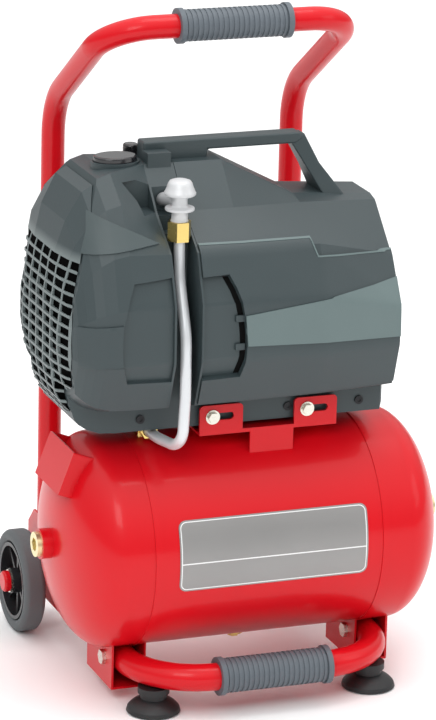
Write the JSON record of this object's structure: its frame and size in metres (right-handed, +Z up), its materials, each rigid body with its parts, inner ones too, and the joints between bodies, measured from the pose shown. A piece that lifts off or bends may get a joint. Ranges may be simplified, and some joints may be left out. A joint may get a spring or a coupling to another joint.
{
  "type": "hvac vacuum pump",
  "caption": "Portable vacuum pump: a motor-driven rocking-piston pump under a faceted cover, on a horizontal tank with a wheeled tubular frame, carry handle and suction feet.",
  "frame": {"origin": "on the floor, under the middle of the whole machine's bounding box", "axes": "X along the tank and the motor shaft, the fan end towards -X; Y from the front (suction pipe and label) to the wheels; Z up"},
  "size_m": [0.392, 0.3288, 0.6242],
  "materials": {
    "red_paint": "gloss",
    "dark_plastic": "satin moulded, grained",
    "gloss_black_plastic": "gloss",
    "black_rubber": "matt",
    "grip_rubber": "matt, ribbed",
    "tyre": "matt",
    "zinc_steel": "zinc plated",
    "steel": "machined",
    "lamination": "varnished stack",
    "copper": "enamelled winding",
    "aluminium": "drawn or cast",
    "brass": "machined",
    "label": "brushed, blank",
    "seal": "low-friction polymer"
  },
  "bodies": {
    "pump": {"tank_shell": "red_paint", "tank_domes": "red_paint", "tank_bosses": "red_paint", "port_fittings": "brass", "drain_plug": "brass", "label_plate": "label", "plate_holder": "red_paint", "lower_bar": "red_paint", "front_brackets": "red_paint", "lower_grip": "grip_rubber", "handle_grip": "grip_rubber", "suction_feet": "black_rubber", "handle_frame": "red_paint", "rear_brackets": "red_paint", "axle": "steel", "hex_bolts": "zinc_steel", "hub_caps": "red_paint", "axle_washers": "zinc_steel", "pipe_channel": "dark_plastic", "grille_cap": "dark_plastic", "cover_left": "dark_plastic", "cover_right": "dark_plastic", "outlet_cap": "dark_plastic", "carry_handle": "dark_plastic", "cover_clip": "dark_plastic", "button_bezel": "dark_plastic", "switch_body": "gloss_black_plastic", "pump_cradle": "red_paint", "rubber_mounts": "black_rubber", "pump_base": "steel", "motor_housing": "aluminium", "motor_stator": "lamination", "motor_coils": "copper", "end_shields": "aluminium", "motor_bearings": "steel", "capacitor": "gloss_black_plastic", "crankcase": "aluminium", "cylinder": "aluminium", "valve_plate": "steel", "cylinder_head": "aluminium", "socket_screws": "zinc_steel", "exhaust_silencer": "gloss_black_plastic", "suction_elbow": "aluminium", "suction_pipe": "aluminium", "pipe_nuts": "brass", "check_valve": "brass", "cable_gland": "black_rubber"},
    "wheel_left": {"wheel_rim_left": "gloss_black_plastic", "tyre_left": "tyre"},
    "wheel_right": {"wheel_rim_right": "gloss_black_plastic", "tyre_right": "tyre"},
    "drive": {"motor_shaft": "steel", "rotor": "lamination", "cooling_fan": "dark_plastic", "crank_disc": "steel"},
    "piston": {"crank_bearing": "steel", "piston_rod": "aluminium", "piston_seal": "seal"},
    "button": {"switch_button": "gloss_black_plastic"},
    "knob": {"regulator_knob": "gloss_black_plastic"}
  },
  "joints": [
    {"name": "wheel_left_spin", "type": "hinge", "parent": "pump", "child": "wheel_left", "pos_m": [-0.1565, 0.11535, 0.049], "axis": [1, 0, 0], "continuous": true},
    {"name": "wheel_right_spin", "type": "hinge", "parent": "pump", "child": "wheel_right", "pos_m": [0.1565, 0.11535, 0.049], "axis": [1, 0, 0], "continuous": true},
    {"name": "motor_spin", "type": "hinge", "parent": "pump", "child": "drive", "pos_m": [-0.006, -0.04065, 0.345], "axis": [1, 0, 0], "continuous": true},
    {"name": "crank_pin", "type": "hinge", "parent": "drive", "child": "piston", "pos_m": [-0.104, -0.04065, 0.348], "axis": [1, 0, 0], "continuous": true},
    {"name": "button_press", "type": "slide", "parent": "pump", "child": "button", "axis": [0, 0, 1], "range_m": [-0.003, 0], "stiffness_N_per_m": 400, "springref_m": 0.002},
    {"name": "knob_turn", "type": "hinge", "parent": "pump", "child": "knob", "pos_m": [-0.098, -0.01065, 0.49], "axis": [0, 0, 1], "range_deg": [-135, 135]}
  ],
  "couplings": [
    {"joint": "crank_pin", "follows": "motor_spin", "ratio": -1}
  ]
}
